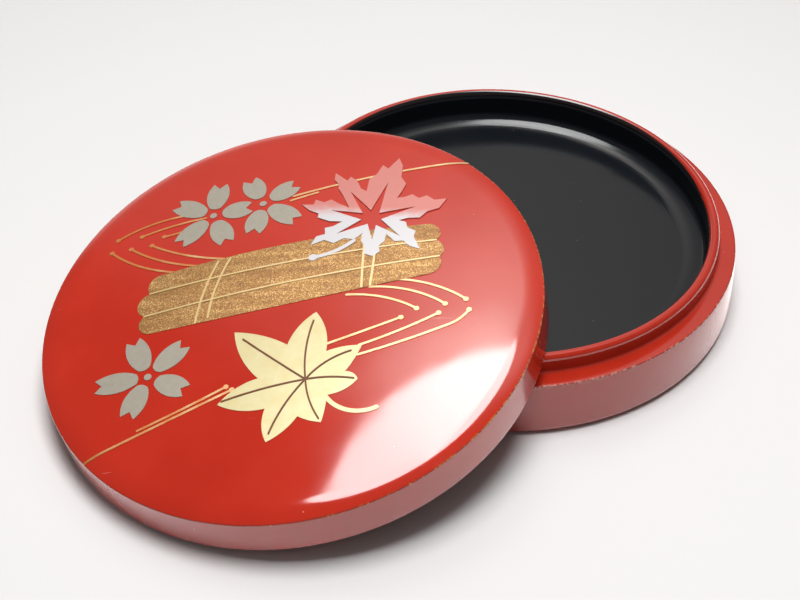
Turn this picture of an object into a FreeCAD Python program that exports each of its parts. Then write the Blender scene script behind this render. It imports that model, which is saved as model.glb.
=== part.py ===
"""Round incense box in turned wood and lacquer: a base with a standing lip, and a low domed lid.

The base stands level with its underside's centre at the origin, +Z up. The lid is off: its rim rests on
the ground on one side and on the base's lip on the other. Every coat and ornament is a piece of its own.
"""
import FreeCAD, Part
import math
import os
import Sketcher

SIZES = {
    "rim_radius": 40.0,            # outer radius of both rims, where lid and base meet
    "ledge_height": 10.2,          # ledge of the base that the closed lid sits on
    "ledge_width": 2.95,           # from the rim's edge in to the foot of the standing lip
    "lip_height": 3.2,             # standing lip above the ledge
    "lip_wall": 1.75,              # thickness of the standing lip
    "cove_radius": 0.4,            # lacquer that gathers at the foot of the lip
    "belly_bulge": 0.4,            # how far the base's side swells beyond its rim
    "foot_round": 1.6,             # round between the side and the underside
    "foot_ring_width": 5.8,        # flat ring that the base stands on
    "foot_recess": 3.0,            # recess inside the foot ring
    "floor_height": 7.0,           # black floor of the base above the ground
    "bowl_round": 1.4,             # tight round at the foot of the inner wall
    "bowl_sweep": 6.7,             # flatter sweep from that round down to the floor
    "coat": 0.25,                  # thickness of each lacquer coat with its ground
    "fit_clearance": 0.25,         # radial play between the lid's bore and the lip
    "skirt_height": 6.5,           # lid's side, from the rim up to the crisp edge of the dome
    "skirt_taper": 0.1,            # how much the side closes in at the dome's edge
    "rim_round": 0.4,              # both edges of the lid's rim
    "dome_radius": 390.0,          # wide curve of the lid's top
    "shoulder_radius": 10.8,       # tighter curve near the dome's edge
    "shoulder_width": 3.4,         # how far in from the edge that curve reaches
    "lid_thickness": 1.1,          # of the lid's top at its thinnest, where the dome meets its shoulder
    "ceiling_round": 2.6,          # round between the ceiling and the bore
    "powder_relief": 0.1,          # height of one layer of raised powder decoration
    "water_line_width": 0.4,       # thin gold lines of the stream
    "seam_width": 0.3,             # gold lines between the logs
    "lashing_width": 0.34,         # gold lines across the logs
    "vein_width": 0.28,            # veins of the gold leaf
    "drop_radius": 0.42,           # drop that ends a stream line
    "stalk_width": 0.7,            # stalks of both leaves
    "petal_width": 3.8,            # widest part of a petal
    "petal_root_width": 1.9,       # blunt inner end of a petal
    "petal_tip_width": 2.2,        # between a petal's two tips
    "petal_notch": 1.1,            # depth of the notch between them
    "petal_start": 1.5,            # gap from the blossom's centre to its petals
    "pistil_radius": 0.6,          # dot in the middle of a blossom
    "slit_half_width": 0.95,       # half width of the silver leaf's bare wedges at their roots
    "lean_gap": 0.3,               # play left between the leaning rim and the lip
}
SWEEP_SHARE = 0.47                 # level share of the sweep's radius, at the ring where the round takes over
LEAN_AZIMUTH = 223.7               # direction, in degrees, that the lid leans away towards
LEAN_OFFSET_SHARE = 1.068          # from the base's axis to the middle of the leaning rim
STEEPEST_LEAN = 45.0               # degrees, upper end of the search for the lean
HALVINGS = 60                      # steps of that search
PETAL_BELLY_SHARE = 0.58           # where along a petal it is widest
ROOT_BULGE_SHARE = 0.35            # how far its blunt end bulges, of half that end's width

# Outlines of the ornament, as shares of the rim's radius from the lid's axis.
# Each log: left end (three points of an arc), then its top edge, right end and bottom edge.
LOG_SHARES = [
    [(-0.565, 0.062), (-0.578, 0.115), (-0.515, 0.165), (0, 0.29),
     (0.535, 0.367), (0.583, 0.323), (0.57, 0.277), (0, 0.185)],
    [(-0.568, -0.055), (-0.605, 0.015), (-0.565, 0.062), (0, 0.185),
     (0.57, 0.277), (0.603, 0.23), (0.588, 0.19), (0, 0.077)],
    [(-0.535, -0.143), (-0.583, -0.1), (-0.568, -0.055), (0, 0.077),
     (0.588, 0.19), (0.593, 0.135), (0.54, 0.095), (0, -0.037)],
]
# Each stroke: its start, a point on its way and its end. The drop, if any, is at the start.
LASHING_SHARES = [
    [(-0.304, 0.209), (-0.338, 0.055), (-0.35, -0.106)],
    [(-0.256, 0.222), (-0.292, 0.075), (-0.302, -0.083)],
    [(0.285, 0.325), (0.288, 0.175), (0.295, 0.037)],
    [(0.328, 0.332), (0.331, 0.188), (0.328, 0.044)],
]
STREAM_SHARES = {
    "upper_stream": [
        [(0.668, 0.738), (0.3, 0.66), (-0.04, 0.56)],
        [(0.06, 0.575), (0.005, 0.555), (-0.048, 0.535)],
    ],
    "left_stream": [
        [(-0.767, 0.383), (-0.65, 0.45), (-0.425, 0.495)],
        [(-0.665, 0.39), (-0.55, 0.432), (-0.4, 0.467)],
        [(-0.565, 0.378), (-0.512, 0.39), (-0.45, 0.417)],
        [(-0.61, 0.333), (-0.463, 0.265), (-0.29, 0.225)],
        [(-0.698, 0.323), (-0.562, 0.245), (-0.39, 0.195)],
        [(-0.78, 0.312), (-0.65, 0.225), (-0.48, 0.17)],
    ],
    "right_stream": [
        [(0.703, -0.03), (0.565, 0.045), (0.41, 0.075)],
        [(0.625, -0.053), (0.49, 0.015), (0.328, 0.037)],
        [(0.517, -0.075), (0.398, -0.02), (0.24, 0)],
        [(0.46, -0.118), (0.325, -0.179), (0.182, -0.24)],
        [(0.603, -0.098), (0.465, -0.177), (0.312, -0.247)],
        [(0.718, -0.082), (0.685, -0.125), (0.63, -0.16)],
        [(0.63, -0.16), (0.475, -0.23), (0.31, -0.292)],
    ],
    "lower_stream": [
        [(-0.18, -0.42), (-0.34, -0.512), (-0.5, -0.595)],
        [(-0.155, -0.434), (-0.42, -0.575), (-0.69, -0.713)],
    ],
}
NO_DROP_SHARES = [(0.668, 0.738), (0.06, 0.575), (0.63, -0.16)]
# Each blossom: its centre, then every petal's direction in degrees and its length.
BLOSSOM_SHARES = {
    "left_blossom": [
        (-0.37, 0.477), (90, 0.19), (155, 0.195), (231, 0.195), (-63, 0.185), (12.6, 0.165),
    ],
    "right_blossom": [
        (-0.165, 0.527), (117.7, 0.173), (39.6, 0.168), (-35, 0.195), (264, 0.173),
    ],
    "lower_blossom": [
        (-0.5, -0.352), (117, 0.202), (49.4, 0.195), (-24.3, 0.182), (-106, 0.19), (188.7, 0.212),
    ],
}
# The gold leaf's edge, point by point: each lobe's tip, its flank, the valley, the next flank.
GOLD_LEAF_SHARES = [
    (0.13, -0.082), (0.173, -0.158), (0.188, -0.273), (0.255, -0.252),
    (0.323, -0.247), (0.3, -0.31), (0.27, -0.367), (0.302, -0.378),
    (0.32, -0.403), (0.277, -0.447), (0.21, -0.472), (0.209, -0.532),
    (0.2, -0.59), (0.152, -0.581), (0.11, -0.562), (0.068, -0.62),
    (0.003, -0.67), (-0.02, -0.605), (-0.017, -0.525), (-0.113, -0.53),
    (-0.202, -0.5), (-0.143, -0.432), (-0.06, -0.388), (-0.135, -0.295),
    (-0.182, -0.165), (-0.068, -0.188), (0.035, -0.237), (0.07, -0.15),
]
GOLD_STALK_SHARES = [(0.2, -0.467), (0.285, -0.537), (0.4, -0.528)]
VEIN_ROOT_SHARE = (0.123, -0.4)
# Each vein from there: a point on its way and its end.
VEIN_SHARES = [
    [(0.11, -0.263), (0.125, -0.125)],
    [(0.003, -0.313), (-0.142, -0.202)],
    [(-0.04, -0.438), (-0.188, -0.487)],
    [(0.055, -0.513), (0.01, -0.635)],
    [(0.15, -0.5), (0.19, -0.575)],
    [(0.212, -0.392), (0.305, -0.4)],
    [(0.19, -0.325), (0.283, -0.273)],
]
SILVER_CENTRE_SHARE = (0.303, 0.405)
# The silver leaf's saw-toothed lobes, with the clock: the valley before the lobe and the teeth of its first
# flank, then the lobe's tip, then the teeth of its second flank.
SILVER_LOBE_SHARES = [
    ([(0.203, 0.472), (0.17, 0.545), (0.145, 0.59), (0.145, 0.613), (0.123, 0.645)],
     (0.123, 0.685),
     [(0.178, 0.635), (0.19, 0.658), (0.218, 0.633), (0.24, 0.583)]),
    ([(0.265, 0.565), (0.27, 0.64), (0.298, 0.668), (0.318, 0.723), (0.343, 0.7)],
     (0.383, 0.763),
     [(0.402, 0.715), (0.402, 0.643), (0.425, 0.603), (0.41, 0.555)]),
    ([(0.395, 0.52), (0.425, 0.523), (0.455, 0.538), (0.485, 0.515), (0.515, 0.53), (0.548, 0.503)],
     (0.598, 0.51),
     [(0.57, 0.455), (0.525, 0.437), (0.495, 0.402), (0.45, 0.402)]),
    ([(0.413, 0.39), (0.443, 0.378), (0.45, 0.348), (0.485, 0.328), (0.48, 0.295)],
     (0.51, 0.228),
     [(0.468, 0.245), (0.44, 0.275), (0.405, 0.273)]),
    ([(0.368, 0.315), (0.365, 0.273), (0.345, 0.253), (0.35, 0.218)],
     (0.323, 0.195),
     [(0.29, 0.21), (0.285, 0.255), (0.27, 0.28)]),
    ([(0.273, 0.323), (0.24, 0.29), (0.198, 0.298), (0.16, 0.273), (0.12, 0.293)],
     (0.068, 0.268),
     [(0.085, 0.315), (0.12, 0.325), (0.115, 0.36), (0.148, 0.368)]),
    ([(0.183, 0.393), (0.13, 0.398), (0.078, 0.423), (0.08, 0.445), (0.038, 0.468)],
     (0.003, 0.503),
     [(0.052, 0.5), (0.058, 0.528), (0.095, 0.51), (0.123, 0.525), (0.155, 0.5)]),
]
SLIT_SHARE = 0.58                  # how far up its lobe each bare wedge runs
SILVER_STALK_SHARES = [(0.085, 0.2), (0.165, 0.227), (0.24, 0.283)]


class Size:
    """A length with the sheet expression that gives it, so that sums of sizes stay bound."""

    def __init__(self, value, text):
        self.value = value
        self.text = text

    def __add__(self, other):
        return Size(self.value + other.value, f"({self.text} + {other.text})")

    def __sub__(self, other):
        return Size(self.value - other.value, f"({self.text} - {other.text})")

    def __mul__(self, other):
        return Size(self.value * other.value, f"({self.text} * {other.text})")

    def __truediv__(self, other):
        return Size(self.value / other.value, f"({self.text} / {other.text})")

    def root(self):
        return Size(math.sqrt(self.value), f"sqrt({self.text})")


ZERO = Size(0.0, "0")
TWO = Size(2.0, "2")


def make_sheet(doc):
    """The spreadsheet with one plain number per alias, and the same sizes as Size objects."""
    sheet = doc.addObject("Spreadsheet::Sheet", "Sizes")
    for row, (alias, value) in enumerate(SIZES.items(), start=1):
        sheet.set(f"A{row}", alias)
        sheet.set(f"B{row}", str(value))
        sheet.setAlias(f"B{row}", alias)
    doc.recompute()
    return {alias: Size(float(sheet.get(alias)), f"Sizes.{alias}") for alias in SIZES}


def line(start, end):
    return start, end, None


def arc(start, end, centre, radius):
    return start, end, (centre, radius)


def backwards(chain):
    return [(end, start, bend) for start, end, bend in reversed(chain)]


def ring(first, second):
    """A closed profile from two chains that run the same way round: first, then second backwards."""
    back = backwards(second)
    return first + [line(first[-1][1], back[0][0])] + back + [line(back[-1][1], first[0][0])]


def swell(height, bulge):
    """Radius of an arc that starts upright and leans over by bulge within height."""
    return (height * height + bulge * bulge) / (TWO * bulge)


def base_outside(dims, inset):
    """From the edge of the foot ring up the belly, over the ledge and the lip to its inner side."""
    rim, coat_in = dims["rim_radius"], inset
    belly = rim + dims["belly_bulge"]
    foot = dims["foot_round"]
    ledge = dims["ledge_height"] - coat_in
    lip_out = rim - dims["ledge_width"]
    half_lip = dims["lip_wall"] / TWO
    lip_mid = lip_out - half_lip
    spring = dims["ledge_height"] + dims["lip_height"] - half_lip
    cove = dims["cove_radius"]
    side_radius = swell(ledge - foot, dims["belly_bulge"])
    foot_centre = (belly - foot, foot)
    foot_edge = (belly - foot, coat_in)
    belly_point = (belly - coat_in, foot)
    rim_edge = (rim - coat_in, ledge)
    cove_out = (lip_out + cove, ledge)
    cove_in = (lip_out - coat_in, dims["ledge_height"] + cove)
    lip_low = (lip_out - coat_in, spring)
    lip_top = (lip_mid, spring + half_lip - coat_in)
    lip_inner = (lip_mid - half_lip + coat_in, spring)
    return [
        arc(foot_edge, belly_point, foot_centre, foot - coat_in),
        arc(belly_point, rim_edge, (belly - coat_in - side_radius, foot), side_radius),
        line(rim_edge, cove_out),
        arc(cove_out, cove_in, (lip_out + cove, dims["ledge_height"] + cove), cove + coat_in),
        line(cove_in, lip_low),
        arc(lip_low, lip_top, (lip_mid, spring), half_lip - coat_in),
        arc(lip_top, lip_inner, (lip_mid, spring), half_lip - coat_in),
    ]


def base_inside(dims, inset):
    """From the lip's inner side down the wall, by a round and a flatter sweep, to the middle of the floor."""
    opening = dims["rim_radius"] - dims["ledge_width"] - dims["lip_wall"]
    spring = dims["ledge_height"] + dims["lip_height"] - dims["lip_wall"] / TWO
    tight, wide = dims["bowl_round"], dims["bowl_sweep"]
    floor = dims["floor_height"]
    level = Size(SWEEP_SHARE, str(SWEEP_SHARE))
    upright = (Size(1.0, "1") - level * level).root()
    tight_x = opening - tight
    tight_z = floor + wide - (wide - tight) * upright
    wide_x = tight_x - (wide - tight) * level
    joint = (tight_x + (tight + inset) * level, tight_z - (tight + inset) * upright)
    wall_top = (opening + inset, spring)
    wall_foot = (opening + inset, tight_z)
    floor_edge = (wide_x, floor - inset)
    return [
        line(wall_top, wall_foot),
        arc(wall_foot, joint, (tight_x, tight_z), tight + inset),
        arc(joint, floor_edge, (wide_x, floor + wide), wide + inset),
        line(floor_edge, (ZERO, floor - inset)),
    ]


def base_underside(dims, inset):
    """From the middle of the recess out and down to the foot ring's outer edge."""
    ring_out = dims["rim_radius"] + dims["belly_bulge"] - dims["foot_round"]
    ring_in = ring_out - dims["foot_ring_width"]
    recess = dims["foot_recess"]
    ground = inset
    return [
        line((ZERO, recess + inset), (ring_in + inset, recess + inset)),
        line((ring_in + inset, recess + inset), (ring_in + inset, ground)),
        line((ring_in + inset, ground), (ring_out, ground)),
    ]


def dome(dims, inset):
    """From the middle of the lid's top out to its crisp edge: a wide arc and a tighter shoulder."""
    wide, tight = dims["dome_radius"], dims["shoulder_radius"]
    edge = dims["rim_radius"] - dims["skirt_taper"]
    meet = edge - dims["shoulder_width"]
    lean = meet / wide
    upright = (Size(1.0, "1") - lean * lean).root()
    shoulder_x = meet - tight * lean
    reach = edge - shoulder_x
    shoulder_z = dims["skirt_height"] - (tight * tight - reach * reach).root()
    wide_z = shoulder_z - (wide - tight) * upright
    top = (ZERO, wide_z + wide - inset)
    joint = (shoulder_x + (tight - inset) * lean, shoulder_z + (tight - inset) * upright)
    trimmed = reach - inset if inset.value > 0 else reach
    end_x = shoulder_x + trimmed
    end_z = shoulder_z + ((tight - inset) * (tight - inset) - trimmed * trimmed).root()
    return [
        arc(top, joint, (ZERO, wide_z), wide - inset),
        arc(joint, (end_x, end_z), (shoulder_x, shoulder_z), tight - inset),
    ]


def dome_top(dims):
    """Height of the middle of the dome above the lid's rim."""
    return dome(dims, ZERO)[0][0][1]


def shoulder_height(dims):
    """Height above the lid's rim of the ring where the dome's wide arc meets its shoulder."""
    return dome(dims, ZERO)[0][1][1]


def lid_outside(dims, inset):
    """Dome, skirt and rim, as far as the rim's inner edge."""
    top = dome(dims, inset)
    rim, turn = dims["rim_radius"], dims["rim_round"]
    bore = rim - dims["ledge_width"] + dims["fit_clearance"]
    crease = top[-1][1]
    side_radius = swell(crease[1] - turn, dims["skirt_taper"])
    side_foot = (rim - inset, turn)
    rim_out = (rim - turn, inset)
    rim_in = (bore + turn, inset)
    bore_foot = (bore + inset, turn)
    return top + [
        arc(crease, side_foot, (rim - inset - side_radius, turn), side_radius),
        arc(side_foot, rim_out, (rim - turn, turn), turn - inset),
        line(rim_out, rim_in),
        arc(rim_in, bore_foot, (bore + turn, turn), turn - inset),
    ]


def lid_inside(dims, inset):
    """From the rim's inner edge up the bore and round to the middle of the ceiling."""
    bore = dims["rim_radius"] - dims["ledge_width"] + dims["fit_clearance"]
    turn = dims["ceiling_round"]
    ceiling = shoulder_height(dims) - dims["lid_thickness"]
    wall_head = (bore + inset, ceiling - turn)
    ceiling_edge = (bore - turn, ceiling + inset)
    return [
        line((bore + inset, dims["rim_round"]), wall_head),
        arc(wall_head, ceiling_edge, (bore - turn, ceiling - turn), turn + inset),
        line(ceiling_edge, (ZERO, ceiling + inset)),
    ]


def sketch_edge(start, end, bend):
    """The edge's geometry, and which of its ends (1 or 2) is the start and which is the end."""
    first = FreeCAD.Vector(start[0].value, start[1].value, 0)
    last = FreeCAD.Vector(end[0].value, end[1].value, 0)
    if bend is None:
        return Part.LineSegment(first, last), 1, 2
    (centre_x, centre_z), radius = bend
    centre = FreeCAD.Vector(centre_x.value, centre_z.value, 0)
    circle = Part.Circle(centre, FreeCAD.Vector(0, 0, 1), radius.value)
    from_angle = math.atan2(first.y - centre.y, first.x - centre.x)
    to_angle = math.atan2(last.y - centre.y, last.x - centre.x)
    if (to_angle - from_angle) % math.tau < math.pi:
        return Part.ArcOfCircle(circle, from_angle, to_angle), 1, 2
    return Part.ArcOfCircle(circle, to_angle, from_angle), 2, 1


def hold_point(sketch, geometry, end, point):
    """Ties one end of an edge to its two sizes."""
    for axis, kind, size in ((-2, "DistanceX", point[0]), (-1, "DistanceY", point[1])):
        if size.text == ZERO.text:
            sketch.addConstraint(Sketcher.Constraint("PointOnObject", geometry, end, axis))
        else:
            index = sketch.addConstraint(Sketcher.Constraint(kind, -1, 1, geometry, end, size.value))
            sketch.setExpression(f"Constraints[{index}]", size.text)


def turned_piece(doc, name, profile):
    """A body turned on the lathe: the closed profile, revolved about the upright axis."""
    body = doc.addObject("PartDesign::Body", name)
    body.Label = name
    sketch = body.newObject("Sketcher::SketchObject", name + "_profile")
    upright = next(item for item in body.Origin.OriginFeatures if item.Role == "XZ_Plane")
    sketch.AttachmentSupport = (upright, [""])
    sketch.MapMode = "FlatFace"
    ends = []
    for start, end, bend in profile:
        shape, start_end, end_end = sketch_edge(start, end, bend)
        geometry = sketch.addGeometry(shape, False)
        ends.append((geometry, start_end, end_end))
    for (geometry, start_end, end_end), (start, end, bend) in zip(ends, profile):
        following = ends[(geometry + 1) % len(ends)]
        meeting = (geometry, end_end, following[0], following[1])
        sketch.addConstraint(Sketcher.Constraint("Coincident", *meeting))
        hold_point(sketch, geometry, start_end, start)
        if bend is not None:
            index = sketch.addConstraint(Sketcher.Constraint("Radius", geometry, bend[1].value))
            sketch.setExpression(f"Constraints[{index}]", bend[1].text)
    turning = body.newObject("PartDesign::Revolution", name + "_turning")
    turning.Profile = sketch
    turning.ReferenceAxis = (sketch, ["V_Axis"])
    turning.Angle = 360
    sketch.Visibility = False
    return body


def lean_pose(dims):
    """The lid's placement: rim down on the ground at one side, resting over the base's lip at the other.

    The lean angle is found by halving: it is where the flat underside of the rim, as its inner edge crosses
    the lip, clears the rounded top of the lip by the named gap.
    """
    rim = dims["rim_radius"].value
    half_lip = dims["lip_wall"].value / 2
    lip_mid = rim - dims["ledge_width"].value - half_lip
    spring = dims["ledge_height"].value + dims["lip_height"].value - half_lip
    bore = rim - dims["ledge_width"].value + dims["fit_clearance"].value
    flat_edge = bore + dims["rim_round"].value
    offset = rim * LEAN_OFFSET_SHARE
    low, high = 0.0, math.radians(STEEPEST_LEAN)
    for _ in range(HALVINGS):
        angle = (low + high) / 2
        needed = spring + (half_lip + dims["lean_gap"].value) / math.cos(angle)
        if height_over_lip(angle, offset, rim, flat_edge, lip_mid) < needed:
            low = angle
        else:
            high = angle
    azimuth = math.radians(LEAN_AZIMUTH)
    away = FreeCAD.Vector(math.cos(azimuth), math.sin(azimuth), 0)
    tilt_axis = FreeCAD.Vector(-away.y, away.x, 0)
    centre = away * offset + FreeCAD.Vector(0, 0, rim * math.sin(angle))
    return FreeCAD.Placement(centre, FreeCAD.Rotation(tilt_axis, math.degrees(angle)))


def height_over_lip(angle, offset, rim, flat_edge, lip_mid):
    """Height of the rim's underside, at this lean, where its flat's inner edge crosses the lip's middle."""
    near, far = math.pi / 2, math.pi
    for _ in range(HALVINGS):
        turn = (near + far) / 2
        along = offset + flat_edge * math.cos(turn) * math.cos(angle)
        across = flat_edge * math.sin(turn)
        if math.hypot(along, across) > lip_mid:
            near = turn
        else:
            far = turn
    return (rim - flat_edge * math.cos(turn)) * math.sin(angle)


def at(dims, share):
    """A point of the ornament in the lid's own plane, from its shares of the rim's radius."""
    rim = dims["rim_radius"].value
    return FreeCAD.Vector(share[0] * rim, share[1] * rim, 0)


def three_point(first, middle, last):
    return Part.Arc(first, middle, last).toShape()


def rise(dims, wire):
    """An upright solid on the flat outline, tall enough to pass right through the dome."""
    reach = (dome_top(dims) * TWO).value
    return Part.Face(wire).extrude(FreeCAD.Vector(0, 0, reach))


def stroke(dims, points, width):
    """A brush line of even width along the arc through three points, with round ends."""
    first, middle, last = (at(dims, share) for share in points)
    circle = three_point(first, middle, last).Curve
    centre, radius = circle.Center, circle.Radius
    half = width / 2

    def beside(point, step):
        return centre + (point - centre) * ((radius + step) / radius)

    def cap(point, forward):
        along = (point - centre).cross(FreeCAD.Vector(0, 0, 1)).normalize() * half
        return point + (along if along.dot(forward) > 0 else along * -1)

    outer = three_point(beside(first, half), beside(middle, half), beside(last, half))
    inner = three_point(beside(last, -half), beside(middle, -half), beside(first, -half))
    end_cap = three_point(beside(last, half), cap(last, last - middle), beside(last, -half))
    start_cap = three_point(beside(first, -half), cap(first, first - middle), beside(first, half))
    return rise(dims, Part.Wire([outer, end_cap, inner, start_cap]))


def drop(dims, share, radius):
    """A round drop of gold at the end of a line."""
    circle = Part.Circle(at(dims, share), FreeCAD.Vector(0, 0, 1), radius)
    return rise(dims, Part.Wire([circle.toShape()]))


def joined(solids):
    """Solids that meet, melted into one, and the rest as they are."""
    return solids[0].fuse(solids[1:]).removeSplitter() if len(solids) > 1 else solids[0]


def log_forms(dims):
    forms = []
    for shares in LOG_SHARES:
        low, bulge, high, top, far_high, far_bulge, far_low, bottom = (at(dims, share) for share in shares)
        edges = [
            three_point(low, bulge, high),
            three_point(high, top, far_high),
            three_point(far_high, far_bulge, far_low),
            three_point(far_low, bottom, low),
        ]
        forms.append(rise(dims, Part.Wire(edges)))
    return forms


def petal_form(dims, centre, direction, length):
    """One notched petal: two bowed flanks from a blunt root to two tips."""
    along = FreeCAD.Vector(math.cos(direction), math.sin(direction), 0)
    across = FreeCAD.Vector(-along.y, along.x, 0)
    start = dims["petal_start"].value
    root_half = dims["petal_root_width"].value / 2
    half = dims["petal_width"].value / 2
    tip_half = dims["petal_tip_width"].value / 2

    def spot(far, aside):
        return centre + along * far + across * aside

    shoulder = start + root_half * ROOT_BULGE_SHARE
    belly = start + (length - start) * PETAL_BELLY_SHARE
    upper, lower = spot(length, tip_half), spot(length, -tip_half)
    notch = spot(length - dims["petal_notch"].value, 0)
    edges = [
        three_point(spot(shoulder, root_half), spot(belly, half), upper),
        Part.LineSegment(upper, notch).toShape(),
        Part.LineSegment(notch, lower).toShape(),
        three_point(lower, spot(belly, -half), spot(shoulder, -root_half)),
        three_point(spot(shoulder, -root_half), spot(start, 0), spot(shoulder, root_half)),
    ]
    return rise(dims, Part.Wire(edges))


def blossom_form(dims, centre_share, *petals):
    centre = at(dims, centre_share)
    rim = dims["rim_radius"].value
    forms = [petal_form(dims, centre, math.radians(turn), share * rim) for turn, share in petals]
    return joined(forms + [drop(dims, centre_share, dims["pistil_radius"].value)])


def seam_form(dims):
    """Lines along the two edges where neighbouring logs meet, from notch to notch."""
    width = dims["seam_width"].value
    return joined([stroke(dims, [log[0], log[7], log[6]], width) for log in LOG_SHARES[:-1]])


def lashing_form(dims):
    return joined([stroke(dims, shares, dims["lashing_width"].value) for shares in LASHING_SHARES])


def gold_leaf_form(dims):
    points = [at(dims, share) for share in GOLD_LEAF_SHARES]
    edges = []
    for index in range(0, len(points), 2):
        edges.append(three_point(points[index], points[index + 1], points[(index + 2) % len(points)]))
    blade = rise(dims, Part.Wire(edges))
    return joined([blade, stroke(dims, GOLD_STALK_SHARES, dims["stalk_width"].value)])


def vein_form(dims):
    width = dims["vein_width"].value
    return joined([stroke(dims, [VEIN_ROOT_SHARE] + run, width) for run in VEIN_SHARES])


def silver_leaf_form(dims):
    """Seven saw-toothed lobes round a bare star, and the stalk."""
    centre = at(dims, SILVER_CENTRE_SHARE)
    outline, slits = [], []
    for first_flank, tip_share, second_flank in SILVER_LOBE_SHARES:
        outline += [at(dims, share) for share in first_flank + [tip_share] + second_flank]
        axis = at(dims, tip_share) - centre
        aside = FreeCAD.Vector(-axis.y, axis.x, 0).normalize() * dims["slit_half_width"].value
        corners = [centre + aside, centre - aside, centre + axis * SLIT_SHARE]
        slits.append(rise(dims, Part.makePolygon(corners + corners[:1])))
    blade = rise(dims, Part.makePolygon(outline + outline[:1]))
    stalk_width = dims["stalk_width"].value
    stalk = stroke(dims, SILVER_STALK_SHARES, stalk_width)
    knob = drop(dims, SILVER_STALK_SHARES[0], stalk_width)
    return joined([blade.cut(slits), stalk, knob])


def stream_form(dims, lines):
    forms = [stroke(dims, shares, dims["water_line_width"].value) for shares in lines]
    ends = [shares[0] for shares in lines if shares[0] not in NO_DROP_SHARES]
    return joined(forms + [drop(dims, end, dims["drop_radius"].value) for end in ends])


def relief_layer(doc, name, dims, low, high):
    """The skin over the dome that lies between two heights above its lacquer."""
    return turned_piece(doc, name, ring(dome(dims, ZERO - low), dome(dims, ZERO - high)))


def ornament(doc, name, layer, form, pose):
    """One motif of raised powder: its upright form, cut to a layer over the dome."""
    stencil = doc.addObject("Part::Feature", name + "_stencil")
    stencil.Shape = form
    motif = doc.addObject("Part::Common", name)
    motif.Base = layer
    motif.Tool = stencil
    motif.Label = name
    motif.Placement = pose
    return motif


def ornaments(doc, dims, pose):
    """Every motif, cut back where another lies over it."""
    relief = dims["powder_relief"]
    low = relief_layer(doc, "low_layer", dims, ZERO, relief)
    high = relief_layer(doc, "high_layer", dims, relief, relief + relief)
    full = relief_layer(doc, "full_layer", dims, ZERO, relief + relief)
    silver, gold = silver_leaf_form(dims), gold_leaf_form(dims)
    blossoms = {name: blossom_form(dims, *shares) for name, shares in BLOSSOM_SHARES.items()}
    blossoms["right_blossom"] = blossoms["right_blossom"].cut(blossoms["left_blossom"])
    logs, seams = log_forms(dims), seam_form(dims)
    lashings = lashing_form(dims)
    raft = Part.makeCompound([log.cut([seams, silver]) for log in logs])
    covers = list(logs) + [silver, gold] + list(blossoms.values())
    motifs = [
        ornament(doc, "raft_logs", low, raft, pose),
        ornament(doc, "raft_seams", full, seams.cut(silver), pose),
        ornament(doc, "raft_lashings", high, lashings.cut([seams, silver]), pose),
        ornament(doc, "silver_leaf", full, silver, pose),
        ornament(doc, "gold_leaf", low, gold, pose),
        ornament(doc, "gold_leaf_veins", high, vein_form(dims), pose),
    ]
    motifs += [ornament(doc, name, low, form, pose) for name, form in blossoms.items()]
    motifs += [
        ornament(doc, name, low, stream_form(dims, lines).cut(covers), pose)
        for name, lines in STREAM_SHARES.items()
    ]
    return motifs


def build(doc):
    dims = make_sheet(doc)
    coat = dims["coat"]
    pose = lean_pose(dims)
    outside, inside = base_outside(dims, ZERO), base_inside(dims, ZERO)
    core_outside, core_inside = base_outside(dims, coat), base_inside(dims, coat)
    under, core_under = base_underside(dims, ZERO), base_underside(dims, coat)
    core = core_under + core_outside + core_inside
    pieces = [
        turned_piece(doc, "base_core", core + [line(core[-1][1], core[0][0])]),
        turned_piece(doc, "base_red_coat", ring(outside, core_outside)),
        turned_piece(doc, "base_black_coat", ring(inside, core_inside)),
        turned_piece(doc, "base_foot_coat", ring(under, core_under)),
    ]
    lid_core = lid_outside(dims, coat) + lid_inside(dims, coat)
    lid = [
        turned_piece(doc, "lid_core", lid_core + [line(lid_core[-1][1], lid_core[0][0])]),
        turned_piece(doc, "lid_red_coat", ring(lid_outside(dims, ZERO), lid_outside(dims, coat))),
        turned_piece(doc, "lid_black_coat", ring(lid_inside(dims, ZERO), lid_inside(dims, coat))),
    ]
    for body in lid:
        body.Placement = pose
    return pieces + lid + ornaments(doc, dims, pose)


def failed(item):
    return any(flag in item.State for flag in ("Invalid", "Error"))


def main():
    doc = FreeCAD.newDocument("incense_box")
    pieces = build(doc)
    doc.recompute()
    broken = [item.Label for item in doc.Objects if failed(item)]
    empty = [item.Label for item in pieces if item.Shape.isNull() or not item.Shape.isValid()]
    if broken or empty:
        raise RuntimeError(f"failed objects {broken}, unusable shapes {empty}")
    os.makedirs("parts", exist_ok=True)
    for item in pieces:
        item.Shape.exportStep(f"parts/{item.Label}.step")
        print(item.Label, len(item.Shape.Solids), "solids", round(item.Shape.Volume, 2), "mm3")


main()
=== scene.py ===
import math

import bpy
import numpy as np
from mathutils import Matrix, Vector


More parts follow.
